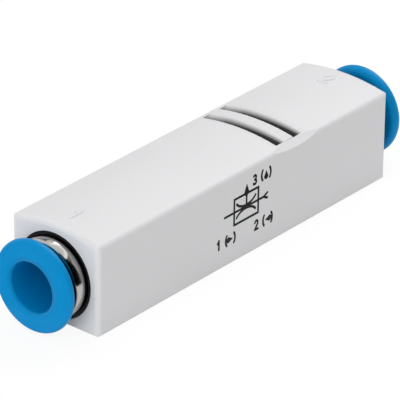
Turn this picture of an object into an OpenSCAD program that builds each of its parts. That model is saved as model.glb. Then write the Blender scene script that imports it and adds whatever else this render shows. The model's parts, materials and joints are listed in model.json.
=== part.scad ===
// In-line vacuum ejector with a push-in tube connector at each end.
// X runs along the flow from the supply port to the vacuum port, Z is up,
// and the origin is under the middle of the part, on the surface it rests on.

/* [Housing] */
// Width across the flat sides
body_w = 14; // [13:0.5:18]
// Height of the side walls above the port axis, up to the crowned top
side_rise = 6.05; // [6:0.05:9]
// Rise of the crowned top at mid width
crown_h = 0.8; // [0.4:0.1:1.6]
// Wall between the black rings' seats and the base
base_wall = 0.5; // [0.4:0.05:1.2]
// Radius of the four upright edges
upright_edge_r = 0.7; // [0.4:0.1:1.5]
// Radius of the edges round the crowned top
top_edge_r = 0.6; // [0.3:0.1:0.9]
// Radius of the edges round the base
base_edge_r = 0.4; // [0.2:0.1:0.45]

/* [Flow line] */
// Depth of each tube stop below its end face
socket_depth = 12.2; // [11.8:0.1:16]
// Length of the seat that holds the jet nozzle
jet_seat_l = 4.6; // [4.2:0.1:7]
// Length of the suction chamber, to the shoulder under the receiver nozzle
chamber_l = 4.8; // [4.6:0.1:6]
// Length of the receiver nozzle's barrel
receiver_l = 12.3; // [9:0.1:18]
// Length of the exhaust chamber with the silencer insert
silencer_l = 8; // [6.8:0.1:12]
// Wall between the exhaust chamber and the vacuum port's tube stop
partition = 3; // [1:0.1:4]
// Height of the nozzle line above the port axis
nozzle_rise = 0.8; // [0.7:0.05:0.85]
// Radius of the jet nozzle's seat
jet_seat_r = 2.15; // [2.1:0.05:2.2]
// Step from the jet nozzle's seat down to the suction chamber
chamber_step = 0.15; // [0.1:0.05:0.25]
// Radius of the receiver nozzle's seat and of the exhaust chamber
receiver_r = 1.5; // [1.3:0.05:1.6]
// Radius of the channel from the vacuum port to the suction chamber
bypass_r = 0.75; // [0.6:0.05:0.8]
// Distance of that channel below the port axis
bypass_drop = 1.8; // [1.75:0.05:2.05]

/* [Nozzles] */
// Radius of the jet nozzle's inlet
jet_inlet_r = 1.5; // [1.2:0.05:1.6]
// Radius of the jet's throat
jet_throat_r = 0.25; // [0.2:0.05:0.5]
// Radius of the jet's outlet
jet_outlet_r = 0.4; // [0.3:0.05:0.6]
// Length of the jet's straight throat
jet_throat_l = 0.5; // [0.3:0.1:0.8]
// Length of the jet nozzle's free tip
jet_tip_l = 2.8; // [2:0.1:3]
// Outer radius of that tip at its root
jet_root_r = 1.5; // [1.3:0.05:1.8]
// Outer radius of that tip at its end
jet_tip_r = 0.9; // [0.8:0.05:1.2]
// Radius of the receiver's inlet
receiver_inlet_r = 1.2; // [1:0.05:1.4]
// Length of the receiver's narrowing inlet
receiver_inlet_l = 2.2; // [1.6:0.1:3]
// Thickness of the receiver's flange
flange_l = 0.8; // [0.6:0.05:1]
// Radius of the receiver's throat
receiver_throat_r = 0.5; // [0.3:0.05:0.7]
// Radius of the receiver's outlet
receiver_outlet_r = 0.95; // [0.7:0.05:1.1]
// Wall of the silencer insert
silencer_wall = 0.5; // [0.3:0.05:0.8]
// Thickness of the two nozzle seals
nozzle_seal_d = 0.5; // [0.4:0.02:0.52]

/* [Exhaust slots] */
// Width of each slot's throat along the housing
slot_w = 0.75; // [0.5:0.05:1.2]
// Radius of each slot's far edge, rounded to spread the exhaust air
slot_lip_r = 1.2; // [0.6:0.1:1.4]
// Distance between the two slots, centre to centre
slot_pitch = 3.4; // [3:0.05:4.5]
// Wall left beside the slots on each side of the housing
slot_side_wall = 0.95; // [0.8:0.05:2]
// Height of the slot floor above the base
slot_floor_z = 5.9; // [5.7:0.1:7.5]
// Depth of the hollowed edge beside the slots
relief_depth = 0.5; // [0.2:0.05:0.7]
// Length of the hollowed edge
relief_l = 10; // [7:0.5:13]
// Tilt of the hollowed edge from level
relief_tilt = 38; // [25:1:50]
// How far the hollowed edge's middle lies beyond the middle of the slots
relief_shift = 0.3; // [-1:0.1:1]

/* [Tube connector] */
// Outer radius of the tube
tube_r = 3; // [2.9:0.05:3.1]
// Clearance between the tube and the release ring
tube_gap = 0.2; // [0.15:0.01:0.25]
// Clearance between the tube and its socket in the housing
socket_gap = 0.04; // [0.03:0.01:0.1]
// Clearance between the tube and the rings round it in the sleeve
tube_room = 0.4; // [0.3:0.05:0.5]
// Wall of the release ring's neck
neck_wall = 1; // [0.8:0.05:1.2]
// Running clearance of the release ring in the sleeve's lip
neck_gap = 0.05; // [0.03:0.01:0.08]
// Height of the collar that holds the release ring in the sleeve
collar_rise = 0.3; // [0.15:0.05:0.35]
// Length of the collar
collar_l = 0.6; // [0.4:0.05:0.9]
// Clearance between the collar and the sleeve
collar_gap = 0.12; // [0.05:0.01:0.2]
// Wall at the release ring's inner end, which pushes the claws
nose_wall = 0.5; // [0.35:0.05:0.6]
// Width of the slits between the collar's fingers
finger_slit = 0.5; // [0.3:0.05:0.8]
// Travel of the release ring
release_travel = 0.6; // [0.4:0.05:0.65]
// How far the release ring's rim reaches beyond the sleeve
rim_overhang = 0.85; // [0.5:0.05:0.9]
// Thickness of the release ring's rim
rim_l = 1.55; // [1.3:0.05:2.2]
// Width of the funnel round the tube hole
funnel_w = 0.3; // [0.2:0.05:0.6]
// Depth of the funnel
funnel_l = 0.95; // [0.6:0.05:1.3]
// Length of sleeve that stands out of the housing
sleeve_proud = 2.15; // [1.8:0.05:2.6]
// Length of the sleeve's lip
lip_l = 1.15; // [0.8:0.05:1.3]
// Radius of the sleeve's front edge
sleeve_edge_r = 0.4; // [0.2:0.05:0.5]
// Wall of the sleeve round the claws
sleeve_wall = 0.43; // [0.35:0.01:0.5]
// Width of the black ring between sleeve and housing
mouth_seal_w = 0.5; // [0.4:0.05:0.6]
// Depth of the seat for the black ring
mouth_seal_l = 1.3; // [0.9:0.1:2]

/* [Claws and tube seal] */
// Depth of the claw ring's front face below the end face
claw_depth = 2.1; // [1.8:0.05:2.4]
// Thickness of the claw ring
claw_t = 0.3; // [0.2:0.05:0.35]
// Step in the sleeve that the claw ring rests against
claw_step = 0.25; // [0.15:0.01:0.3]
// How far the claws slope inwards along the tube
claw_drop = 1.2; // [0.9:0.05:1.4]
// Number of claws
claw_count = 8; // [6:1:10]
// Gap between neighbouring claws
claw_slit = 0.45; // [0.3:0.05:0.6]
// How far the claws reach inside the tube's surface
claw_bite = 0.05; // [0.02:0.01:0.1]
// Length of the ring that carries the claws
carrier_l = 2.8; // [2.5:0.1:3.2]
// Length of the spacer in front of the tube seal
spacer_l = 2.2; // [1.5:0.1:3]
// Thickness of the tube seal
tube_seal_d = 1.64; // [1.5:0.02:1.66]
// How far the tube seal reaches inside the tube's surface
seal_bite = 0.04; // [0.02:0.01:0.1]

/* [Fits] */
// Radial clearance of fixed pieces in their seats
fit_gap = 0.03; // [0.02:0.01:0.05]
// Length left free at the end of a seat
end_gap = 0.1; // [0.05:0.01:0.15]

/* [Hidden] */
$fn = 96;

// Places along the flow line, measured from the supply end face
jet_seat_x = socket_depth;
jet_setback = 0.3;
jet_head_x = jet_seat_x + jet_setback;
jet_head_l = jet_seat_l - jet_setback;
chamber_x = jet_seat_x + jet_seat_l;
receiver_x = chamber_x + chamber_l;
silencer_x = receiver_x + receiver_l;
exhaust_end_x = silencer_x + silencer_l;
body_l = exhaust_end_x + partition + socket_depth;
slot_mid_x = silencer_x + silencer_l / 2;

// Radii of the tube connector, from the tube outwards
socket_r = tube_r + socket_gap;
clear_r = tube_r + tube_room;
ring_bore_r = tube_r + tube_gap;
nose_r = ring_bore_r + nose_wall;
neck_r = ring_bore_r + neck_wall;
lip_r = neck_r + neck_gap;
collar_r = neck_r + collar_rise;
cavity_r = collar_r + collar_gap;
claw_seat_r = cavity_r + claw_step;
sleeve_r = claw_seat_r + sleeve_wall;
mouth_r = sleeve_r + mouth_seal_w;
rim_r = sleeve_r + rim_overhang;
claw_tip_r = tube_r - claw_bite;
claw_land = 0.5;
claw_root_r = cavity_r - claw_land;
seal_gap = 0.01;

// Heights and radii of the housing
port_z = mouth_r + base_wall;
side_h = port_z + side_rise;
top_z = side_h + crown_h;
nozzle_z = port_z + nozzle_rise;
bypass_z = port_z - bypass_drop;
crown_r = (body_w * body_w / 4 + crown_h * crown_h) / (2 * crown_h);
crown_z = top_z - crown_r;
chamber_r = jet_seat_r - chamber_step;
overrun = 1;

// Places in the tube connector, measured outwards from the end face
lip_back = sleeve_proud - lip_l;
rim_back = sleeve_proud + release_travel + end_gap;
rim_front = rim_back + rim_l;
collar_front = lip_back - neck_gap;
collar_back = collar_front - collar_l;
carrier_front = -claw_depth - claw_t;
spacer_front = carrier_front - carrier_l;
sleeve_back = spacer_front - spacer_l;
pocket_r = tube_r - seal_bite + tube_seal_d;
pocket_back = sleeve_back - tube_seal_d - end_gap;
claw_slope = claw_drop / (claw_root_r - claw_tip_r);
nose_tip = release_travel + end_gap - claw_depth - claw_slope * (claw_root_r - nose_r);

// ---- Housing ----------------------------------------------------------------

// Upright prism with the four upright edges rounded
module plan_prism() {
    w = body_w / 2;
    r = upright_edge_r;
    linear_extrude(height = top_z + overrun) {
        translate([r, -w]) square([body_l - 2 * r, body_w]);
        translate([0, r - w]) square([body_l, body_w - 2 * r]);
        for (x = [r, body_l - r], y = [r - w, w - r])
            translate([x, y]) circle(r);
    }
}

// Prism along the housing whose section rounds the long edges; the crown trims its top
module long_prism() {
    w = body_w / 2;
    t = top_edge_r;
    b = base_edge_r;
    top_arc_z = crown_z + sqrt(pow(crown_r - t, 2) - pow(w - t, 2));
    tangent_y = crown_r * (w - t) / (crown_r - t);
    translate([-overrun, 0, 0]) rotate([90, 0, 90])
        linear_extrude(height = body_l + 2 * overrun) {
            translate([-w, b]) square([body_w, top_arc_z - b]);
            translate([b - w, 0]) square([body_w - 2 * b, top_arc_z]);
            translate([-tangent_y, b]) square([2 * tangent_y, top_z + overrun - b]);
            for (y = [b - w, w - b]) translate([y, b]) circle(b);
            for (y = [t - w, w - t]) translate([y, top_arc_z]) circle(t);
        }
}

// Prism across the housing that rounds the base edges at the two ends
module cross_prism() {
    b = base_edge_r;
    translate([0, body_w / 2 + overrun, 0]) rotate([90, 0, 0])
        linear_extrude(height = body_w + 2 * overrun) {
            translate([0, b]) square([body_l, top_z + overrun - b]);
            translate([b, 0]) square([body_l - 2 * b, top_z]);
            for (x = [b, body_l - b]) translate([x, b]) circle(b);
        }
}

// Wide disc on its side: its rim is the crowned top, with rounded ends
module crown_disc() {
    t = top_edge_r;
    translate([0, 0, crown_z]) rotate([0, 90, 0])
        rotate_extrude($fn = 360) {
            square([crown_r - t, body_l]);
            translate([0, t]) square([crown_r, body_l - 2 * t]);
            for (x = [t, body_l - t]) translate([crown_r - t, x]) circle(t);
        }
}

// Shallow round hollow that eases the long top edge beside the slots, on the printed side
module edge_relief() {
    relief_r = relief_l * relief_l / (8 * relief_depth);
    reach = body_w / 2;
    translate([slot_mid_x + relief_shift, -body_w / 2, side_h])
        rotate([relief_tilt, 0, 0])
            translate([0, 0, relief_r - relief_depth]) rotate([90, 0, 0])
                cylinder(r = relief_r, h = reach, center = true, $fn = 240);
}

// Stepped hole for one tube connector, drawn along +Z out of the end face
module port_hole() {
    rotate_extrude() polygon([
        [0, -socket_depth], [socket_r, -socket_depth], [socket_r, pocket_back],
        [pocket_r, pocket_back], [pocket_r, sleeve_back],
        [sleeve_r + fit_gap, sleeve_back], [sleeve_r + fit_gap, -mouth_seal_l],
        [mouth_r, -mouth_seal_l], [mouth_r, overrun], [0, overrun]
    ]);
}

// Bores of the nozzle line and the channel that bypasses it
module flow_bores() {
    translate([jet_seat_x - overrun, 0, nozzle_z]) rotate([0, 90, 0])
        cylinder(r = jet_seat_r, h = jet_seat_l + overrun);
    translate([chamber_x - overrun, 0, nozzle_z]) rotate([0, 90, 0])
        cylinder(r = chamber_r, h = chamber_l + overrun);
    translate([receiver_x - overrun, 0, nozzle_z]) rotate([0, 90, 0])
        cylinder(r = receiver_r, h = exhaust_end_x - receiver_x + overrun);
    translate([chamber_x + end_gap, 0, bypass_z]) rotate([0, 90, 0])
        cylinder(r = bypass_r, h = body_l - socket_depth - chamber_x);
}

// Rounded far edge of a slot, turned about the crown's own axis so that it follows the top;
// its arc meets the throat's wall and the crown at a small angle
module slot_lip() {
    meet = 10;
    arc_r = crown_r - slot_lip_r * cos(meet);
    arc_x = slot_w + slot_lip_r * cos(meet);
    translate([0, 0, crown_z]) rotate([0, 90, 0]) rotate_extrude($fn = 360)
        difference() {
            translate([arc_r, slot_w / 2]) square([slot_lip_r + overrun, arc_x - slot_w / 2]);
            translate([arc_r, arc_x]) circle(slot_lip_r);
        }
}

// The two slots across the crowned top, down into the exhaust chamber
module exhaust_slots() {
    slot_len = body_w - 2 * slot_side_wall;
    slot_h = top_z + overrun - slot_floor_z;
    lip_span = slot_w + slot_lip_r;
    for (side = [-1, 1])
        translate([slot_mid_x + side * slot_pitch / 2 - lip_span / 2, 0, 0]) {
            translate([0, -slot_len / 2, slot_floor_z]) cube([slot_w, slot_len, slot_h]);
            intersection() {
                translate([0, -slot_len / 2, slot_floor_z]) cube([lip_span, slot_len, slot_h]);
                slot_lip();
            }
        }
}

module housing() color("gainsboro") line() difference() {
    intersection() {
        plan_prism();
        long_prism();
        cross_prism();
        crown_disc();
    }
    edge_relief();
    at_supply() port_hole();
    at_vacuum() port_hole();
    flow_bores();
    exhaust_slots();
}

// ---- Nozzle line --------------------------------------------------------------

// Places what is drawn from the supply face along +X into the part's own frame
module line() translate([-body_l / 2, 0, 0]) children();

// Turns what is drawn along +Z onto the nozzle line, starting x from the supply face
module on_nozzle_line(x) line() translate([x, 0, nozzle_z]) rotate([0, 90, 0]) children();

// Jet nozzle: a head with a groove for its seal, and a tapered tip in the suction chamber
module jet_nozzle() color("goldenrod") on_nozzle_line(jet_head_x) rotate_extrude() {
    head_r = jet_seat_r - fit_gap;
    groove_r = jet_seat_r - nozzle_seal_d;
    groove_l = nozzle_seal_d + 2 * end_gap;
    groove_z = (jet_head_l - groove_l) / 2;
    throat_z = jet_head_l + end_gap;
    tip_z = jet_head_l + jet_tip_l;
    polygon([
        [jet_inlet_r, 0], [head_r, 0], [head_r, groove_z], [groove_r, groove_z],
        [groove_r, groove_z + groove_l], [head_r, groove_z + groove_l], [head_r, jet_head_l],
        [jet_root_r, jet_head_l], [jet_tip_r, tip_z], [jet_outlet_r, tip_z],
        [jet_throat_r, throat_z + jet_throat_l], [jet_throat_r, throat_z]
    ]);
}

module jet_nozzle_seal() color("dimgray")
    on_nozzle_line(jet_head_x + jet_head_l / 2) rotate_extrude()
        translate([jet_seat_r - nozzle_seal_d / 2, 0])
            circle(nozzle_seal_d / 2 - seal_gap, $fn = 32);

// Receiver nozzle: a flange in the suction chamber and a barrel that widens to its outlet
module receiver_nozzle() color("goldenrod")
    on_nozzle_line(receiver_x - nozzle_seal_d - end_gap - flange_l) rotate_extrude() {
        flange_r = chamber_r - fit_gap;
        barrel_r = receiver_r - fit_gap;
        end_z = flange_l + nozzle_seal_d + end_gap + receiver_l;
        polygon([
            [receiver_inlet_r, 0], [flange_r, 0], [flange_r, flange_l], [barrel_r, flange_l],
            [barrel_r, end_z], [receiver_outlet_r, end_z],
            [receiver_throat_r, end_z / 2], [receiver_throat_r, receiver_inlet_l]
        ]);
    }

module receiver_nozzle_seal() color("dimgray")
    on_nozzle_line(receiver_x - (nozzle_seal_d + end_gap) / 2) rotate_extrude()
        translate([(receiver_r + chamber_r - fit_gap) / 2, 0])
            circle(nozzle_seal_d / 2 - seal_gap, $fn = 32);

module silencer_insert() color("ivory") on_nozzle_line(silencer_x)
    difference() {
        cylinder(r = receiver_r - fit_gap, h = silencer_l - end_gap);
        translate([0, 0, -overrun])
            cylinder(r = receiver_r - fit_gap - silencer_wall, h = silencer_l + 2 * overrun);
    }

// ---- Tube connectors ------------------------------------------------------------

// Turns what is drawn along +Z so that it points out of the supply face
module at_supply() translate([0, 0, port_z]) rotate([0, -90, 0]) children();

// The same for the vacuum face
module at_vacuum() translate([body_l, 0, port_z]) rotate([0, 90, 0]) children();

// Release ring: a rounded rim to press, a neck, and a collar on three spring fingers
module release_ring() {
    rim_bulge = rim_l / 2;
    face_r = rim_r - rim_bulge;
    collar_lead = 0.35;
    finger_turn = 70;
    difference() {
        rotate_extrude() {
            translate([face_r, rim_back + rim_bulge]) circle(rim_bulge);
            polygon([
                [ring_bore_r, nose_tip], [nose_r, nose_tip],
                [neck_r, collar_back - collar_lead], [collar_r, collar_back],
                [collar_r, collar_front], [neck_r, collar_front],
                [neck_r, rim_back], [face_r, rim_back], [face_r, rim_front],
                [ring_bore_r + funnel_w, rim_front], [ring_bore_r, rim_front - funnel_l]
            ]);
        }
        for (i = [0 : 2]) rotate([0, 0, finger_turn + i * 120])
            translate([0, -finger_slit / 2, nose_tip - overrun])
                cube([rim_r, finger_slit, collar_front - nose_tip + overrun]);
    }
}

// Turned sleeve: a lip that keeps the release ring in, and a seat for the claws
module sleeve() rotate_extrude() {
    e = sleeve_edge_r;
    translate([sleeve_r - e, sleeve_proud - e]) circle(e);
    polygon([
        [lip_r, lip_back], [cavity_r, lip_back], [cavity_r, -claw_depth],
        [claw_seat_r, -claw_depth], [claw_seat_r, sleeve_back], [sleeve_r, sleeve_back],
        [sleeve_r, sleeve_proud - e], [sleeve_r - e, sleeve_proud - e],
        [sleeve_r - e, sleeve_proud], [lip_r, sleeve_proud]
    ]);
}

module mouth_seal() rotate_extrude()
    translate([sleeve_r + fit_gap, -mouth_seal_l])
        square([mouth_seal_w - 2 * fit_gap, mouth_seal_l - end_gap]);

// Flat ring of spring steel with claws that slope inwards, away from the opening
module claw_ring() difference() {
    rotate_extrude() polygon([
        [claw_tip_r, -claw_depth - claw_drop], [claw_root_r, -claw_depth],
        [claw_seat_r - fit_gap, -claw_depth], [claw_seat_r - fit_gap, carrier_front],
        [claw_root_r, carrier_front], [claw_tip_r, carrier_front - claw_drop]
    ]);
    for (i = [0 : claw_count - 1]) rotate([0, 0, i * 360 / claw_count])
        translate([0, -claw_slit / 2, carrier_front - claw_drop - overrun])
            cube([claw_root_r, claw_slit, claw_drop + claw_t + 2 * overrun]);
}

// Ring behind the claws, hollowed to a cone so that they can bend back
module claw_carrier() rotate_extrude() {
    mouth_gap = 0.15;
    mouth_l = 0.65;
    land_l = 1;
    polygon([
        [claw_root_r + mouth_gap, carrier_front], [claw_seat_r - fit_gap, carrier_front],
        [claw_seat_r - fit_gap, spacer_front], [clear_r, spacer_front],
        [clear_r, spacer_front + land_l], [claw_root_r + mouth_gap, carrier_front - mouth_l]
    ]);
}

module seal_spacer() rotate_extrude()
    translate([clear_r, sleeve_back])
        square([claw_seat_r - fit_gap - clear_r, spacer_l]);

module tube_seal() rotate_extrude()
    translate([pocket_r - tube_seal_d / 2, (sleeve_back + pocket_back) / 2])
        circle(tube_seal_d / 2 - seal_gap, $fn = 48);

module supply_release_ring() color("dodgerblue") line() at_supply() release_ring();
module supply_sleeve() color("silver") line() at_supply() sleeve();
module supply_mouth_seal() color("black") line() at_supply() mouth_seal();
module supply_claw_ring() color("lightsteelblue") line() at_supply() claw_ring();
module supply_claw_carrier() color("white") line() at_supply() claw_carrier();
module supply_seal_spacer() color("wheat") line() at_supply() seal_spacer();
module supply_tube_seal() color("dimgray") line() at_supply() tube_seal();

module vacuum_release_ring() color("dodgerblue") line() at_vacuum() release_ring();
module vacuum_sleeve() color("silver") line() at_vacuum() sleeve();
module vacuum_mouth_seal() color("black") line() at_vacuum() mouth_seal();
module vacuum_claw_ring() color("lightsteelblue") line() at_vacuum() claw_ring();
module vacuum_claw_carrier() color("white") line() at_vacuum() claw_carrier();
module vacuum_seal_spacer() color("wheat") line() at_vacuum() seal_spacer();
module vacuum_tube_seal() color("dimgray") line() at_vacuum() tube_seal();

housing();
jet_nozzle();
jet_nozzle_seal();
receiver_nozzle();
receiver_nozzle_seal();
silencer_insert();
supply_release_ring();
supply_sleeve();
supply_mouth_seal();
supply_claw_ring();
supply_claw_carrier();
supply_seal_spacer();
supply_tube_seal();
vacuum_release_ring();
vacuum_sleeve();
vacuum_mouth_seal();
vacuum_claw_ring();
vacuum_claw_carrier();
vacuum_seal_spacer();
vacuum_tube_seal();
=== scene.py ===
# %% [markdown]
# # An in-line vacuum ejector
# The real part is a square bar of light grey plastic, about as long as a thumb. Compressed
# air goes in at one end, rushes through a jet nozzle inside, pulls air in from the other
# end, and blows out of two slots across the crowned top. A blue push-in connector sits in
# each end. The solids come packed from the construction model; this lesson gives them
# their finishes, adds the print and the raised numbers, and lights them.

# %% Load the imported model
import json
import math

import bmesh
import bpy
import numpy as np
from mathutils import Matrix, Vector


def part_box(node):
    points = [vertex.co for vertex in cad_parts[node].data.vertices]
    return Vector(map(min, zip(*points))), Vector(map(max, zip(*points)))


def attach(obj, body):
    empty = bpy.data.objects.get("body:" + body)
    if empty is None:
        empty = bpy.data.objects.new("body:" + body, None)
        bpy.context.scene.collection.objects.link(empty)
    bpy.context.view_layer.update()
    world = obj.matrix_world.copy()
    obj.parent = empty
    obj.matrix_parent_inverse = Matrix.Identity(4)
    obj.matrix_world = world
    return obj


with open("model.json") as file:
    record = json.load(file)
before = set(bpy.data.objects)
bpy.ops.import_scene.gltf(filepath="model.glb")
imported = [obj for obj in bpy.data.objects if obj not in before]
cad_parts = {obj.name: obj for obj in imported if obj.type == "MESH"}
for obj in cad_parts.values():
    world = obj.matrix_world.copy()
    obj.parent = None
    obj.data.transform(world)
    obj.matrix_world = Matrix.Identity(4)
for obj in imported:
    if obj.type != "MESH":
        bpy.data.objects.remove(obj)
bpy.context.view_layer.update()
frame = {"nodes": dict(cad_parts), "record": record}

mm = 0.001
nodes = frame["nodes"]

# %% [markdown]
# ## Sizes taken from the solids
# The places below come from the housing's own box, so that the print stays on its wall and
# the numbers on their crown. The box cannot tell two sizes, so they are stated here: the
# height of the port axis and the rise of the crown at mid width. The crowned top is a wide
# arc, and its rise and the housing's width give the arc's radius.

# %% Measure the housing
low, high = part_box("housing")
half_w = high.y
end_x = high.x
top_z = high.z
port_z = 6.3 * mm
crown_rise = 0.8 * mm
crown_r = (half_w ** 2 + crown_rise ** 2) / (2 * crown_rise)
print("housing", [round(v / mm, 2) for v in (*low, *high)])


def crown_height(y):
    """Height of the crowned top at y: an arc of radius crown_r whose highest point is top_z."""
    return top_z - crown_r + np.sqrt(crown_r ** 2 - y ** 2)


# %% [markdown]
# ## The camera
# A small part is best seen from well back through a long lens, so that its far end looks
# only a little smaller than its near end. The camera stands above and to the left of the
# supply port. Its axes are worked out from azimuth, elevation and roll and put straight
# into the matrix, because a tracking constraint could not hold the small roll.

# %% Place the camera
azimuth, elevation, roll = (math.radians(a) for a in (-50.62, 27.40, 0.80))
distance = 530 * mm
aim = Vector((-0.93, 0, 5.79)) * mm
lens_mm = 378.1

back = Vector((math.sin(azimuth) * math.cos(elevation),
               -math.cos(azimuth) * math.cos(elevation), math.sin(elevation)))
level = (-back).cross(Vector((0, 0, 1))).normalized()
upward = level.cross(-back)
across = math.cos(roll) * level + math.sin(roll) * upward
upright = -math.sin(roll) * level + math.cos(roll) * upward

scene = bpy.context.scene
camera_data = bpy.data.cameras.new("camera")
camera = bpy.data.objects.new("camera", camera_data)
scene.collection.objects.link(camera)
pose = Matrix((across, upright, back)).transposed().to_4x4()
pose.translation = aim + back * distance
camera.matrix_world = pose
camera_data.sensor_width = 36
camera_data.lens = lens_mm
camera_data.clip_start = 10 * mm
scene.camera = camera
scene.view_settings.view_transform = "Standard"
print("camera", round(distance / mm), "mm away, lens", lens_mm, "mm")

# %% [markdown]
# ## A plain studio
# The part lies on a pale floor under one large soft lamp and a smaller one at the supply
# end, with an even glow from all round. The large lamp hangs well past the vacuum end, so
# that the rounded edge between the supply end face and the crown turns away from it and
# stays calm. A brighter world could whiten the background, but it would also bleach the
# part. So the world shows pure white to the camera and to reflections alone, and gives the
# surfaces a calmer light, in which pale plastic keeps its shades.


# %% Node helpers
def link(tree, source, target):
    """Joins an output socket to an input socket."""
    tree.links.new(source, target)


def feed(tree, socket, value):
    """Gives an input socket a number, or joins it to an output socket."""
    if isinstance(value, (int, float)):
        socket.default_value = value
    else:
        link(tree, value, socket)


def math_node(tree, operation, *inputs):
    """Adds a Math node; each input is a number or a socket. Returns its output."""
    node = tree.nodes.new("ShaderNodeMath")
    node.operation = operation
    for socket, value in zip(node.inputs, inputs):
        feed(tree, socket, value)
    return node.outputs[0]


def seen_directly(tree):
    """1 for camera, glossy and transmission rays, 0 for the rays that light a surface."""
    path = tree.nodes.new("ShaderNodeLightPath")
    camera_ray, glossy_ray = path.outputs["Is Camera Ray"], path.outputs["Is Glossy Ray"]
    either = math_node(tree, "MAXIMUM", camera_ray, glossy_ray)
    return math_node(tree, "MAXIMUM", either, path.outputs["Is Transmission Ray"])


# %% The world's light
world = bpy.data.worlds.new("studio")
scene.world = world
world.use_nodes = True
tree = world.node_tree
glow = tree.nodes["Background"]
glow.inputs["Color"].default_value = (1, 1, 1, 1)
glow_strength = 0.605
shown = seen_directly(tree)
link(tree, math_node(tree, "MULTIPLY_ADD", shown, 1 - glow_strength, glow_strength),
     glow.inputs["Strength"])
print("glow on the surfaces", glow_strength)

# %% The floor
floor_mesh = bpy.data.meshes.new("floor")
reach = 3.0
under = -0.02 * mm
corners = [(-reach, -reach), (reach, -reach), (reach, reach), (-reach, reach)]
floor_mesh.from_pydata([(x, y, under) for x, y in corners], [], [(0, 1, 2, 3)])
floor = bpy.data.objects.new("floor", floor_mesh)
scene.collection.objects.link(floor)

paper_light, paper_share = 1.05, 0.86
paper = bpy.data.materials.new("white_paper")
paper.use_nodes = True
tree = paper.node_tree
paper_bsdf = tree.nodes["Principled BSDF"]
paper_bsdf.inputs["Base Color"].default_value = (0.80, 0.80, 0.80, 1)
paper_bsdf.inputs["Roughness"].default_value = 0.9
paper_bsdf.inputs["Specular IOR Level"].default_value = 0.0
whiteness = tree.nodes.new("ShaderNodeEmission")
whiteness.inputs["Color"].default_value = (1, 1, 1, 1)
whiteness.inputs["Strength"].default_value = paper_light
lift = tree.nodes.new("ShaderNodeMixShader")
link(tree, math_node(tree, "MULTIPLY", seen_directly(tree), paper_share), lift.inputs["Fac"])
link(tree, paper_bsdf.outputs[0], lift.inputs[1])
link(tree, whiteness.outputs[0], lift.inputs[2])
link(tree, lift.outputs[0], tree.nodes["Material Output"].inputs["Surface"])
floor_mesh.materials.append(paper)
print("floor", 2 * reach, "m wide,", under / mm, "mm from the part's base")


# %% Lamps
def soft_lamp(name, place, size, power):
    """A square area lamp at place, turned to shine on the middle of the part."""
    data = bpy.data.lights.new(name, "AREA")
    data.size = size
    data.energy = power
    lamp = bpy.data.objects.new(name, data)
    lamp.location = place
    away = Vector(place) - Vector((0, 0, port_z))
    lamp.rotation_euler = away.to_track_quat("Z", "Y").to_euler()
    scene.collection.objects.link(lamp)
    print(name, power, "W")
    return lamp


soft_lamp("top_lamp", (0.58, 0.10, 0.62), 0.55, 2.87)
supply_lamp = soft_lamp("supply_lamp", (-0.75, -0.10, 0.30), 0.45, 2.1)
supply_lamp.visible_glossy = False

# %% [markdown]
# ## Cards that the metal mirrors
# Bright metal has hardly a colour of its own: it looks like metal because it mirrors light
# and dark things round it. A studio has a dark side behind the camera and grey walls
# further round. Here each of them is a sheet that only reflections can see, so it
# takes no light off the part. Flat planes would do, but a sheet swept round the supply port
# has edges at plain angles as that port's sleeve sees them, which makes them easy to place.


# %% Sweep a card round the supply port
def swept_card(name, profile, turns, tone):
    """A sheet of plain tone that shows in reflections alone.

    The profile's points (d, h) are carried round an upright line through the supply port:
    at turn a a point lies at (d cos a - end_x, d sin a, h).
    """
    stations = 25
    d, h = np.array(profile).T
    a = np.radians(np.linspace(*turns, stations))[:, None]
    points = np.stack([d * np.cos(a) - end_x, d * np.sin(a), h + 0 * a], axis=-1)
    i, j = np.meshgrid(np.arange(stations - 1), np.arange(len(d) - 1), indexing="ij")
    corner = (i * len(d) + j).ravel()
    faces = np.stack([corner, corner + 1, corner + len(d) + 1, corner + len(d)], axis=1)
    mesh = bpy.data.meshes.new(name)
    mesh.from_pydata(points.reshape(-1, 3).tolist(), [], faces.tolist())
    material = bpy.data.materials.new(name)
    material.use_nodes = True
    tree = material.node_tree
    plain = tree.nodes.new("ShaderNodeEmission")
    plain.inputs["Color"].default_value = (tone, tone, tone, 1)
    link(tree, plain.outputs[0], tree.nodes["Material Output"].inputs["Surface"])
    mesh.materials.append(material)
    card = bpy.data.objects.new(name, mesh)
    scene.collection.objects.link(card)
    card.visible_camera = card.visible_diffuse = card.visible_shadow = False
    print(name, "tone", tone)


# %% Hang the cards
close, near, bend, wall = 9 * mm, 42 * mm, 420 * mm, 600 * mm
lie, shoulder, ceiling = 0.5 * mm, 200 * mm, 700 * mm
dark = 0.004
rising = [(near, lie), (bend, lie), (wall, shoulder)]
swept_card("dark_side", rising + [(wall, 1050 * mm)], (180, 294), dark)
swept_card("dark_floor", [(close, lie), (wall, lie)], (120, 195), dark)
swept_card("grey_end", rising + [(wall, 920 * mm)], (294, 345), 0.26)
swept_card("grey_far", rising + [(wall, 600 * mm)], (15, 62), 0.20)
# The light ceiling glows in reflections alone and lights nothing: a painted highlight on the
# metal.
swept_card("light_ceiling", [(300 * mm, ceiling), (430 * mm, ceiling)], (280, 430), 1.5)

# %% [markdown]
# ## How a finish is built
# Moulded plastic is never one flat colour: the tool leaves a fine grain, and the melt
# cools a little unevenly. Turned metal carries fine rings from the lathe. Each of these
# effects is a small node group with named sockets, placed in every material that needs it
# with values of its own. All of them read Object coordinates, which are metres here.


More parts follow.
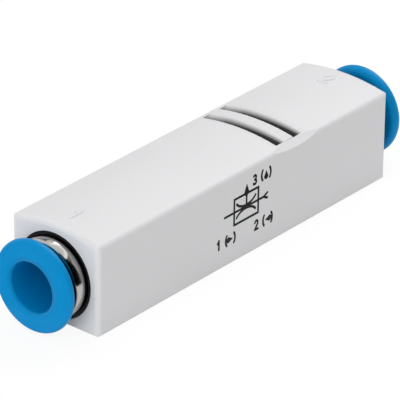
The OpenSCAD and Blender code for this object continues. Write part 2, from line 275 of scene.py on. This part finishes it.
# %% A helper for effect groups
def effect(name, inputs, outputs):
    """Makes a shader node group with these sockets. Returns the group and its two ends."""
    group = bpy.data.node_groups.new(name, "ShaderNodeTree")
    for label, kind, value in inputs:
        socket = group.interface.new_socket(label, in_out="INPUT", socket_type=kind)
        if value is not None:
            socket.default_value = value
    for label, kind in outputs:
        group.interface.new_socket(label, in_out="OUTPUT", socket_type=kind)
    print("effect", name, "gives", [label for label, kind in outputs])
    return group, group.nodes.new("NodeGroupInput"), group.nodes.new("NodeGroupOutput")


def noise(tree, vector, scale, detail=2.0):
    """Adds a Noise Texture that reads vector, at a scale that may be a socket."""
    node = tree.nodes.new("ShaderNodeTexNoise")
    node.inputs["Detail"].default_value = detail
    feed(tree, node.inputs["Scale"], scale)
    link(tree, vector, node.inputs["Vector"])
    return node.outputs["Fac"]


# %% Moulded grain
grain_group, g_in, g_out = effect(
    "moulded_grain",
    [("Vector", "NodeSocketVector", None), ("Grain Scale", "NodeSocketFloat", 6000.0),
     ("Cloud Scale", "NodeSocketFloat", 120.0), ("Cloud Amount", "NodeSocketFloat", 0.04)],
    [("Height", "NodeSocketFloat"), ("Tone", "NodeSocketFloat"), ("Sheen", "NodeSocketFloat")])
fine = noise(grain_group, g_in.outputs["Vector"], g_in.outputs["Grain Scale"], 3.0)
cloud = noise(grain_group, g_in.outputs["Vector"], g_in.outputs["Cloud Scale"])
swing = math_node(grain_group, "MULTIPLY", math_node(grain_group, "SUBTRACT", cloud, 0.5),
                  g_in.outputs["Cloud Amount"])
link(grain_group, fine, g_out.inputs["Height"])
link(grain_group, math_node(grain_group, "ADD", swing, 1.0), g_out.inputs["Tone"])
link(grain_group, cloud, g_out.inputs["Sheen"])


# %% Lathe rings round the flow axis
def split(tree, vector):
    """The x, y and z of a vector, as three sockets."""
    node = tree.nodes.new("ShaderNodeSeparateXYZ")
    link(tree, vector, node.inputs[0])
    return node.outputs


def off_axis(tree, y, z):
    """Distance from the x axis: the root of y squared plus z squared."""
    y_squared, z_squared = (math_node(tree, "POWER", side, 2.0) for side in (y, z))
    return math_node(tree, "SQRT", math_node(tree, "ADD", y_squared, z_squared))


streak_scale = 700.0
rings_group, g_in, g_out = effect(
    "lathe_rings",
    [("Vector", "NodeSocketVector", None), ("Rings per Metre", "NodeSocketFloat", 9000.0)],
    [("Height", "NodeSocketFloat"), ("Streak", "NodeSocketFloat")])
x, y, z = split(rings_group, g_in.outputs["Vector"])
along = rings_group.nodes.new("ShaderNodeCombineXYZ")
link(rings_group, x, along.inputs["X"])
link(rings_group, off_axis(rings_group, y, z), along.inputs["Y"])
rings = noise(rings_group, along.outputs[0], g_in.outputs["Rings per Metre"])
streak = noise(rings_group, g_in.outputs["Vector"], streak_scale)
link(rings_group, rings, g_out.inputs["Height"])
link(rings_group, streak, g_out.inputs["Streak"])

# %% An edge that rolls away
edge_group, g_in, g_out = effect(
    "rolled_edge",
    [("Run", "NodeSocketFloat", 0.0), ("Radius", "NodeSocketFloat", 0.001)],
    [("Height", "NodeSocketFloat")])
run = math_node(edge_group, "MAXIMUM", g_in.outputs["Run"], 0.0)
squared = math_node(edge_group, "POWER", run, 2.0)
minus_twice_radius = math_node(edge_group, "MULTIPLY", g_in.outputs["Radius"], -2.0)
fallen = math_node(edge_group, "DIVIDE", squared, minus_twice_radius)
link(edge_group, fallen, g_out.inputs["Height"])


def rolled_edge(tree, run, radius):
    """Height past the place where run is 0, as on a circle: -run^2 / (2 radius)."""
    node = tree.nodes.new("ShaderNodeGroup")
    node.node_tree = edge_group
    link(tree, run, node.inputs["Run"])
    node.inputs["Radius"].default_value = radius
    return node.outputs["Height"]


# %% Helpers that put an effect into a material
def finish(name, color, roughness, metallic=0.0):
    """A node material with these constants on its Principled shader. Returns its parts."""
    material = bpy.data.materials.new(name)
    material.use_nodes = True
    shader = material.node_tree.nodes["Principled BSDF"]
    shader.inputs["Base Color"].default_value = (*color, 1)
    shader.inputs["Roughness"].default_value = roughness
    shader.inputs["Metallic"].default_value = metallic
    print("finish", name, color)
    return material, material.node_tree, shader


def object_place(tree, centre=(0, 0, 0)):
    """Object coordinates, shifted so that centre becomes the middle of the pattern."""
    coordinates = tree.nodes.new("ShaderNodeTexCoord")
    mapping = tree.nodes.new("ShaderNodeMapping")
    mapping.inputs["Location"].default_value = [-c for c in centre]
    link(tree, coordinates.outputs["Object"], mapping.inputs["Vector"])
    return mapping.outputs[0]


def place_effect(tree, group, vector, **values):
    """Adds a group node that reads vector; underscores in a value's name stand for spaces."""
    node = tree.nodes.new("ShaderNodeGroup")
    node.node_tree = group
    link(tree, vector, node.inputs["Vector"])
    for label, value in values.items():
        node.inputs[label.replace("_", " ")].default_value = value
    return node


def bump(tree, shader, height, depth):
    """Raises the surface by height times depth metres, for light only. Bumps add up."""
    node = tree.nodes.new("ShaderNodeBump")
    node.inputs["Distance"].default_value = depth
    link(tree, height, node.inputs["Height"])
    for earlier in shader.inputs["Normal"].links:
        link(tree, earlier.from_socket, node.inputs["Normal"])
    link(tree, node.outputs["Normal"], shader.inputs["Normal"])


def tinted(tree, shader, color, factor):
    """Multiplies a colour by a factor that varies over the surface."""
    node = tree.nodes.new("ShaderNodeVectorMath")
    node.operation = "SCALE"
    node.inputs[0].default_value = color
    link(tree, factor, node.inputs["Scale"])
    link(tree, node.outputs[0], shader.inputs["Base Color"])


def ramp(tree, value, start, stop, low, high, eased=False):
    """Goes from low to high as value goes from start to stop, and is level past both."""
    node = tree.nodes.new("ShaderNodeMapRange")
    node.interpolation_type = "SMOOTHSTEP" if eased else "LINEAR"
    labels = ("Value", "From Min", "From Max", "To Min", "To Max")
    for label, given in zip(labels, (value, start, stop, low, high)):
        feed(tree, node.inputs[label], given)
    return node.outputs[0]


def varied_roughness(tree, shader, value, low_end, high_end):
    """Spreads roughness between two ends as value goes from 0 to 1."""
    link(tree, ramp(tree, value, 0.0, 1.0, low_end, high_end), shader.inputs["Roughness"])


# %% [markdown]
# ## Light grey housing
# The housing is moulded in a light grey engineering plastic with a satin skin. Its slots
# lead down to the silencer, and their walls carry painted shade that darkens quickly with
# depth, less towards the plain side. Paint on a mesh could show that, but the shade is
# worked out here from how far a point lies below the crown, so it needs no picture file and
# stays in the slots whatever the light does.

# %% Housing finish
housing_grey = (0.800, 0.800, 0.812)
housing_plastic, tree, shader = finish("housing_plastic", housing_grey, 0.5)
shader.inputs["Specular IOR Level"].default_value = 0.3
vector = object_place(tree)
grain = place_effect(tree, grain_group, vector,
                     Grain_Scale=5200.0, Cloud_Scale=90.0, Cloud_Amount=0.03)
varied_roughness(tree, shader, grain.outputs["Sheen"], 0.44, 0.58)
bump(tree, shader, grain.outputs["Height"], 0.006 * mm)

# %% Painted shade in the slots
slot_x = 9.35 * mm
slot_reach = 3.2 * mm
slot_end = half_w - 0.98 * mm
printed_end, plain_end = -6.0 * mm, 6.0 * mm
shade_depth_printed, shade_depth_plain = 0.27 * mm, 0.62 * mm
shade_fade_start, shade_fade_factor = 3.0 * mm, 2.2
shade_curve, shade_most = 0.7, 0.96
x, y, z = split(tree, vector)
y_squared = math_node(tree, "POWER", y, 2.0)
arc_height = math_node(tree, "SQRT", math_node(tree, "SUBTRACT", crown_r ** 2, y_squared))
below = math_node(tree, "SUBTRACT", math_node(tree, "ADD", arc_height, top_z - crown_r), z)
from_slots = math_node(tree, "ABSOLUTE", math_node(tree, "SUBTRACT", x, slot_x))
in_x = math_node(tree, "LESS_THAN", from_slots, slot_reach)
in_y = math_node(tree, "LESS_THAN", math_node(tree, "ABSOLUTE", y), slot_end)
shade_depth = ramp(tree, y, printed_end, plain_end, shade_depth_printed, shade_depth_plain)
shade_fade = ramp(tree, y, shade_fade_start, plain_end, 1.0, shade_fade_factor)
full_depth = math_node(tree, "MULTIPLY", shade_depth, shade_fade)
depth = ramp(tree, below, 0.0, full_depth, 0.0, 1.0)
in_slots = math_node(tree, "MULTIPLY", in_x, in_y)
# Painted shade: the slot walls darken with depth below the crown, less towards the plain side.
painted_shade = math_node(tree, "MULTIPLY", in_slots, math_node(tree, "POWER", depth, shade_curve))
unshaded = math_node(tree, "SUBTRACT", 1.0, math_node(tree, "MULTIPLY", painted_shade, shade_most))
tinted(tree, shader, housing_grey, math_node(tree, "MULTIPLY", unshaded, grain.outputs["Tone"]))
print("dust within", round(slot_reach / mm, 2), "mm each side of x", round(slot_x / mm, 2), "mm")

# %% [markdown]
# ## Blue release rings
# The rings that free the tube are moulded in a smoother, deeper coloured plastic than the
# housing. They are handled with a finger, so the skin is nearly glossy. A tube has to slide
# in, so the mouth of a real ring is rolled over all round. The solid has the funnel with a
# crisp edge, which keeps its faces few. The roll itself is finer than the funnel, so a bump
# that falls away as a small circle does is enough for it.

# %% Release ring finish
ring_blue = (0.000, 0.275, 0.635)
blue_plastic, tree, shader = finish("blue_plastic", ring_blue, 0.32)
shader.inputs["Specular IOR Level"].default_value = 0.12
grain = place_effect(tree, grain_group, object_place(tree),
                     Grain_Scale=4200.0, Cloud_Scale=260.0, Cloud_Amount=0.10)
tinted(tree, shader, ring_blue, grain.outputs["Tone"])
varied_roughness(tree, shader, grain.outputs["Sheen"], 0.26, 0.38)


# %% Roll the mouth of the ring
def port_place(tree):
    """Distance from mid length, then the place across the port axis: y, and z above the axis."""
    x, y, z = split(tree, object_place(tree, (0, 0, port_z)))
    return math_node(tree, "ABSOLUTE", x), y, z


mouth_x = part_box("vacuum_release_ring")[1].x
mouth_r = 3.5 * mm
face_roll, face_radius = 0.7 * mm, 0.9 * mm
wall_roll, funnel, funnel_slope = 0.45 * mm, 0.95 * mm, -0.3
from_middle, y, z = port_place(tree)
radius = off_axis(tree, y, z)
inward = math_node(tree, "SUBTRACT", mouth_x, from_middle)
past_mouth = math_node(tree, "MAXIMUM", radius, mouth_r)
face_run = math_node(tree, "SUBTRACT", mouth_r + face_roll, past_mouth)
wall_run = math_node(tree, "SUBTRACT", wall_roll, inward)
face_edge = rolled_edge(tree, face_run, face_radius)
wall_edge = rolled_edge(tree, wall_run, wall_roll)
mouth_edge = math_node(tree, "ADD", face_edge, wall_edge)
in_funnel = math_node(tree, "MINIMUM", inward, funnel)
sloped = math_node(tree, "MULTIPLY", in_funnel, funnel_slope)
in_mouth = math_node(tree, "LESS_THAN", radius, mouth_r + face_roll)
hollow = math_node(tree, "MULTIPLY", sloped, in_mouth)
bump(tree, shader, math_node(tree, "ADD", mouth_edge, hollow), 1.0)
bump(tree, shader, grain.outputs["Height"], 0.004 * mm)
print("mouth", round(mouth_r / mm, 2), "mm in radius at x", round(mouth_x / mm, 2))

# %% [markdown]
# ## Metals
# The claws are stamped spring steel and the nozzles are plain turned brass. Lathe rings run
# round the flow axis. A stretched noise would show its stretch on a flat face, so the
# pattern here depends only on the place along the axis and on the distance from it.


# %% Metal finishes
def turned_metal(name, color, smooth, dull, rings, depth_of_rings):
    """A metal with lathe rings, whose roughness wanders between smooth and dull."""
    material, tree, shader = finish(name, color, smooth, metallic=1.0)
    vector = object_place(tree, (0, 0, port_z))
    lathe = place_effect(tree, rings_group, vector, Rings_per_Metre=rings)
    varied_roughness(tree, shader, lathe.outputs["Streak"], smooth, dull)
    bump(tree, shader, lathe.outputs["Height"], depth_of_rings)
    return material, tree, shader


steel, brass = (0.62, 0.63, 0.65), (0.78, 0.57, 0.26)
spring_steel = turned_metal("spring_steel", steel, 0.22, 0.34, 5000.0, 0.0010 * mm)[0]
nozzle_brass = turned_metal("nozzle_brass", brass, 0.16, 0.28, 6000.0, 0.0015 * mm)[0]

# %% [markdown]
# ## The plated sleeve
# The collar that stands out of each end is turned brass with bright nickel plate. A real
# one is very slightly barrelled, so it gathers a wide arc of the room. A plain mirror
# cylinder would show hard bands instead. Painted shade darkens its colour at its root
# against the housing and in the gap behind the rim of the ring, starting further out near
# the top, where more light gets in; it is worked out from the distance to the end face of
# the housing. The barrel is too slight for the solid, so a bump that falls away as a wide
# circle does stands for it.

# %% Plated sleeve finish
nickel = (0.47, 0.455, 0.44)
plated_sleeve, tree, shader = turned_metal(
    "plated_sleeve", nickel, 0.07, 0.16, 7000.0, 0.0008 * mm)
root_length = 1.2 * mm
gap_start, gap_full, gap_lean = 1.76 * mm, 2.00 * mm, -0.06
deepest_shade = 0.05
barrel_start, barrel_radius = 0.4 * mm, 4.5 * mm
from_middle, _, height = port_place(tree)
outward = math_node(tree, "SUBTRACT", from_middle, end_x)
from_end = math_node(tree, "ABSOLUTE", outward)
# Painted shade: darker at the root against the housing and in the gap behind the ring's rim,
# less near the top.
root = ramp(tree, from_end, 0.0, root_length, deepest_shade, 1.0, eased=True)
above = math_node(tree, "MAXIMUM", height, 0.0)
behind_rim = math_node(tree, "MULTIPLY_ADD", above, gap_lean, outward)
gap = ramp(tree, behind_rim, gap_start, gap_full, 1.0, deepest_shade, eased=True)
tinted(tree, shader, nickel, math_node(tree, "MULTIPLY", root, gap))
barrel_run = math_node(tree, "SUBTRACT", outward, barrel_start)
bump(tree, shader, rolled_edge(tree, barrel_run, barrel_radius), 1.0)
print("sleeve is clean", round(root_length / mm, 2), "to", round(gap_start / mm, 2), "mm out")

# %% [markdown]
# ## Rubber, natural plastic and the silencer
# Seals are matt black rubber, and the rings behind the claws are moulded in an uncoloured
# plastic: both take the same moulded grain as the housing, with values of their own. The
# silencer is sintered from small beads. Real beads would need a million faces, so Voronoi
# cells stand for them, darker in the gaps and with a bump of a twentieth of a millimetre.

# %% Seal finish
rubber_black = (0.020, 0.020, 0.021)
black_rubber, tree, shader = finish("black_rubber", rubber_black, 0.55)
shader.inputs["Specular IOR Level"].default_value = 0.12
grain = place_effect(tree, grain_group, object_place(tree),
                     Grain_Scale=7000.0, Cloud_Scale=500.0, Cloud_Amount=0.5)
tinted(tree, shader, rubber_black, grain.outputs["Tone"])
varied_roughness(tree, shader, grain.outputs["Sheen"], 0.45, 0.65)
bump(tree, shader, grain.outputs["Height"], 0.008 * mm)

# %% Natural plastic finish
natural_white = (0.80, 0.78, 0.70)
natural_plastic, tree, shader = finish("natural_plastic", natural_white, 0.45)
grain = place_effect(tree, grain_group, object_place(tree),
                     Grain_Scale=4000.0, Cloud_Scale=300.0, Cloud_Amount=0.08)
tinted(tree, shader, natural_white, grain.outputs["Tone"])
varied_roughness(tree, shader, grain.outputs["Sheen"], 0.38, 0.55)
bump(tree, shader, grain.outputs["Height"], 0.004 * mm)

# %% Silencer finish
bead_grey = (0.50, 0.50, 0.49)
porous_plastic, tree, shader = finish("porous_plastic", bead_grey, 0.85)
vector = object_place(tree)
beads = tree.nodes.new("ShaderNodeTexVoronoi")
beads.inputs["Scale"].default_value = 5000.0
link(tree, vector, beads.inputs["Vector"])
pits = math_node(tree, "SUBTRACT", 1.0, beads.outputs["Distance"])
# Painted shade: the colour darkens away from each bead's centre, into the gaps between beads.
tinted(tree, shader, bead_grey, pits)
bump(tree, shader, pits, 0.05 * mm)

# %% Give every solid its finish
finishes = {
    "housing_plastic": housing_plastic, "blue_plastic": blue_plastic,
    "plated_sleeve": plated_sleeve, "black_rubber": black_rubber,
    "spring_steel": spring_steel, "natural_plastic": natural_plastic,
    "nozzle_brass": nozzle_brass, "porous_plastic": porous_plastic,
}
for part in frame["record"]["subparts"]:
    solid = nodes[part["node"]]
    for slot in solid.material_slots or [None]:
        if slot is None:
            solid.data.materials.append(finishes[part["material_slot"]])
        else:
            slot.material = finishes[part["material_slot"]]

# %% [markdown]
# ## Lines of ink and raised bars
# The side carries a printed flow symbol with the port numbers, and the crown carries a
# raised number over each port. Both are made from one thing: a bar that follows a path.
# Ink is a bar so thin that it looks flat; a moulded number is a taller one with a rounded
# top. A text object could make the numbers, but its outlines are sharp, while pad print
# and engraved moulds have the round line ends of the tool that drew them.


# %% A bar along a path
def bar(path, width, rise, place, sink):
    """Grid of a closed bar that follows a flat path and ends in half circles.

    At station i the bar's half width is w = width[i] / 2, cut to the circle sqrt(r^2 - d^2)
    near the ends. Round the section, angle a gives the point path[i] + side[i] * w * cos(a)
    at height rise * sin(a)^0.5 above the surface; the flat underside lies sink below it.
    """
    cap_stations, section_points = 7, 9
    path = np.asarray(path, float)
    width = np.broadcast_to(np.asarray(width, float), len(path)).copy()
    step = np.gradient(path, axis=0)
    step /= np.linalg.norm(step, axis=1)[:, None]
    opening = np.linspace(0, np.pi / 2, cap_stations)
    closing = np.linspace(np.pi / 2, 0, cap_stations)
    cap = np.sin(opening)
    start = path[0] - step[0] * (width[0] / 2) * np.cos(opening)[:, None]
    stop = path[-1] + step[-1] * (width[-1] / 2) * np.cos(closing)[:, None]
    line = np.vstack([start[:-1], path, stop[1:]])
    half = np.concatenate([width[0] * cap[:-1], width, width[-1] * cap[::-1][1:]]) / 2
    added = cap_stations - 1
    along = np.vstack([np.repeat(step[:1], added, 0), step, np.repeat(step[-1:], added, 0)])
    side = np.stack([-along[:, 1], along[:, 0]], axis=1)
    angle = np.linspace(0, np.pi, section_points)
    offset = np.append(np.cos(angle), [-1.0, 1.0])
    lift = np.append(np.sqrt(np.clip(np.sin(angle), 0, 1)), [0.0, 0.0])
    height = rise * lift[None, :] * np.ones(len(line))[:, None]
    height[:, -2:] = -sink
    flat = line[:, None, :] + side[:, None, :] * (half[:, None] * offset[None, :])[:, :, None]
    points = place(flat[..., 0].ravel(), flat[..., 1].ravel(), height.ravel())
    rows, around = len(line), len(offset)
    i, j = np.meshgrid(np.arange(rows - 1), np.arange(around), indexing="ij")
    k = (j + 1) % around
    this, following = i * around, (i + 1) * around
    faces = np.stack([this + j, this + k, following + k, following + j], axis=-1)
    return points, faces.reshape(-1, 4)


def piece_from_bars(name, bars, material, body="body"):
    """Joins bars into one mesh, closes their ends, points the faces outward and places it."""
    points, faces, shift = [], [], 0
    for bar_points, bar_faces in bars:
        points.append(bar_points)
        faces.append(bar_faces + shift)
        shift += len(bar_points)
    mesh = bpy.data.meshes.new(name)
    mesh.from_pydata(np.vstack(points).tolist(), [], np.vstack(faces).tolist())
    same_point = 1e-7
    work = bmesh.new()
    work.from_mesh(mesh)
    bmesh.ops.remove_doubles(work, verts=work.verts, dist=same_point)
    bmesh.ops.dissolve_degenerate(work, edges=work.edges, dist=same_point)
    bmesh.ops.recalc_face_normals(work, faces=work.faces)
    work.to_mesh(mesh)
    work.free()
    mesh.polygons.foreach_set("use_smooth", np.zeros(len(mesh.polygons), bool))
    mesh.materials.append(material)
    piece = bpy.data.objects.new(name, mesh)
    scene.collection.objects.link(piece)
    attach(piece, body)
    print(name, len(mesh.polygons), "faces")


# %% Paths that the marks are drawn with
def straight(start, stop):
    """Nine points along a straight line from start to stop."""
    t = np.linspace(0, 1, 9)[:, None]
    return np.asarray(start, float) * (1 - t) + np.asarray(stop, float) * t


def arc(centre, radii, start, stop):
    """25 points on an ellipse round centre, from angle start to stop in degrees."""
    t = np.radians(np.linspace(start, stop, 25))
    return np.stack([centre[0] + radii[0] * np.cos(t), centre[1] + radii[1] * np.sin(t)], axis=1)


def digit(number):
    """Paths of 1, 2 or 3 in a box 1 high, drawn as a drafting pen would."""
    if number == 1:
        return [straight((0.06, 0.74), (0.30, 1.0)), straight((0.30, 1.0), (0.30, 0.0))]
    if number == 2:
        return [arc((0.30, 0.72), (0.28, 0.28), 165, -35),
                straight((0.53, 0.56), (0.02, 0.0)), straight((0.02, 0.0), (0.60, 0.0))]
    return [arc((0.28, 0.76), (0.25, 0.24), 140, -90), arc((0.28, 0.26), (0.29, 0.26), 90, -145)]


def scaled(paths, corner, size):
    """Moves paths drawn in a unit box to corner; size is one number or a width and a height."""
    return [np.asarray(corner) + np.asarray(path) * np.asarray(size) for path in paths]


# %% [markdown]
# ## The printed side
# The flow symbol is the standard drafting sign for an ejector: a box, a flow line through
# it that ends in an open fork, two arcs that narrow towards each other, and an arrow up to
# the exhaust. A number stands at each port: 1 for the supply, 2 for the vacuum, 3 for the
# exhaust, each with a small flow arrow in brackets. A shader could draw the same lines as a
# mask, but ink that is a thin piece of its own keeps sharp edges at any size of picture.

# %% Ink
ink_black = (0.008, 0.008, 0.009)
black_ink, tree, shader = finish("black_ink", ink_black, 0.42)
shader.inputs["Specular IOR Level"].default_value = 0.15
grain = place_effect(tree, grain_group, object_place(tree),
                     Grain_Scale=9000.0, Cloud_Scale=900.0, Cloud_Amount=0.6)
tinted(tree, shader, ink_black, grain.outputs["Tone"])
bump(tree, shader, grain.outputs["Height"], 0.002 * mm)

# %% Draw the flow symbol
wall_y = low.y
half_l = end_x / mm
ink_rise, ink_sink, ink_width = 0.015, 0.01, 0.35


def on_wall(along, up, height):
    """Places millimetres along the wall, above the port axis and off the printed side."""
    return np.stack([(along - half_l) * mm, wall_y - height * mm, port_z + up * mm], axis=1)


def ink(path, width=ink_width):
    """A line of ink on the printed side; path and width are in millimetres."""
    return bar(path, width, ink_rise, on_wall, ink_sink)


def tapered(path, width):
    """A filled arrow head: a bar whose width falls to a fine tip."""
    tip = 0.02
    return ink(path, np.linspace(width, tip, len(path)))


box_l, box_r, box_b, box_t = 25.87, 30.62, -1.02, 2.56
flow_start, fork, fork_end, fork_rise = 24.0, 31.7, 32.4, 0.36
flow_z, arc_x, outlet_x = 0.74, 28.2, 28.28
arc_radii = (2.03, 1.28)
symbol = [
    ink(straight((box_l, box_b), (box_r, box_b))), ink(straight((box_l, box_t), (box_r, box_t))),
    ink(straight((box_l, box_b), (box_l, box_t))), ink(straight((box_r, box_b), (box_r, box_t))),
    ink(straight((flow_start, flow_z), (fork, flow_z))),
    ink(straight((fork, flow_z), (fork_end, flow_z + fork_rise))),
    ink(straight((fork, flow_z), (fork_end, flow_z - fork_rise))),
    ink(arc((arc_x, 2.26), arc_radii, 205, 335)), ink(arc((arc_x, -0.74), arc_radii, 155, 25)),
    ink(straight((outlet_x, 1.0), (outlet_x, 2.9))),
    tapered(straight((outlet_x, 2.72), (outlet_x, 3.93)), 1.0),
]
piece_from_bars("printed_flow_symbol", symbol, black_ink)
print("symbol", len(symbol), "strokes,", ink_width, "mm wide")


# %% Draw the port numbers
def port_mark(number, corner, turn):
    """A digit, then a pair of brackets round a filled arrow that points at angle turn."""
    high, slim = 1.24, 0.82
    centre_in, bracket = 0.95, (1.0, 1.15)
    tail, head, head_width = 0.35, 0.5, 0.85
    x, z = corner
    marks = [ink(path) for path in scaled(digit(number), corner, (slim * high, high))]
    left, right = x + 1.70, x + 3.42
    middle = z + high / 2
    marks.append(ink(arc((left + centre_in, middle), bracket, 143, 217)))
    marks.append(ink(arc((right - centre_in, middle), bracket, 37, -37)))
    way = np.array([math.cos(math.radians(turn)), math.sin(math.radians(turn))])
    heart = np.array([(left + right) / 2, middle])
    marks.append(tapered(straight(heart - way * tail, heart + way * head), head_width))
    return marks


exhaust, vacuum = port_mark(3, (29.57, 3.24), 90), port_mark(2, (30.02, -3.32), 180)
supply = port_mark(1, (22.62, -3.32), 0)
piece_from_bars("printed_mark_exhaust", exhaust, black_ink)
piece_from_bars("printed_mark_vacuum", vacuum, black_ink)
piece_from_bars("printed_mark_supply", supply, black_ink)

# %% [markdown]
# ## Raised numbers on the crown
# The mould also has the port numbers cut into it, so each one stands proud of the crown by
# less than a fifth of a millimetre. They read from the supply end: up is towards the
# vacuum port. A bump could fake them, but real bars also catch the light along their edges
# and stay in the mesh.


# %% Raise the numbers
number_size, stroke = 2.1, 0.38
number_rise, number_sink = 0.17, 0.05


def on_crown(x0, y0):
    """Places a path on the crown so that it reads from the supply end: right is -Y, up is +X."""
    def place(u, v, h):
        y = (y0 - u) * mm
        return np.stack([(x0 + v) * mm, y, crown_height(y) + h * mm], axis=1)
    return place


def raised_number(name, number, x0, y0):
    """A moulded digit whose lower left corner is at (x0, y0) millimetres on the crown."""
    place = on_crown(x0, y0)
    paths = scaled(digit(number), (0, 0), number_size)
    bars = [bar(path, stroke, number_rise, place, number_sink) for path in paths]
    piece_from_bars(name, bars, housing_plastic)


raised_number("raised_number_supply", 1, 2.7 - half_l, 0.43)
raised_number("raised_number_vacuum", 2, half_l - 4.5, 1.03)
